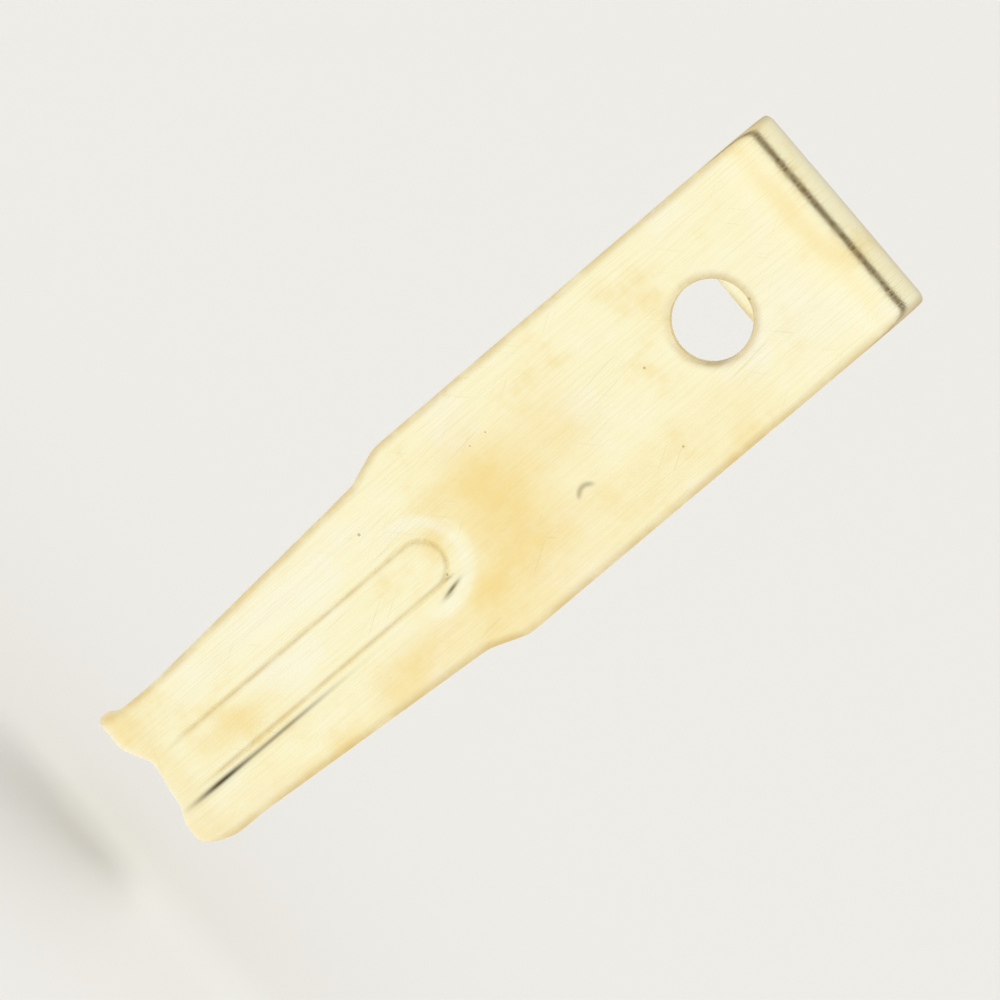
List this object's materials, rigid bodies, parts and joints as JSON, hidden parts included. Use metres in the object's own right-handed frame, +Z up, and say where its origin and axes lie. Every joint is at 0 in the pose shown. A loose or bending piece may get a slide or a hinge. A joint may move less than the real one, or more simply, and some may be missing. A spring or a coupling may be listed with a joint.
{
  "type": "picture hook",
  "caption": "Brassed strip hook for hanging a picture: its slanted leg guides a pin down into the wall, and the closed, ribbed lip at its foot holds the cord.",
  "frame": {"origin": "centre of the plate's pin hole, on the face that lies on the wall", "axes": "+Z up the plate, +Y out of the back of the plate into the wall, +X to the right seen from the front"},
  "size_m": [0.0066, 0.008, 0.0246],
  "materials": {
    "brassed_steel": "bright brass plating on a thin rolled steel strip"
  },
  "bodies": {
    "root": {"picture_hook": "brassed_steel"}
  },
  "joints": []
}
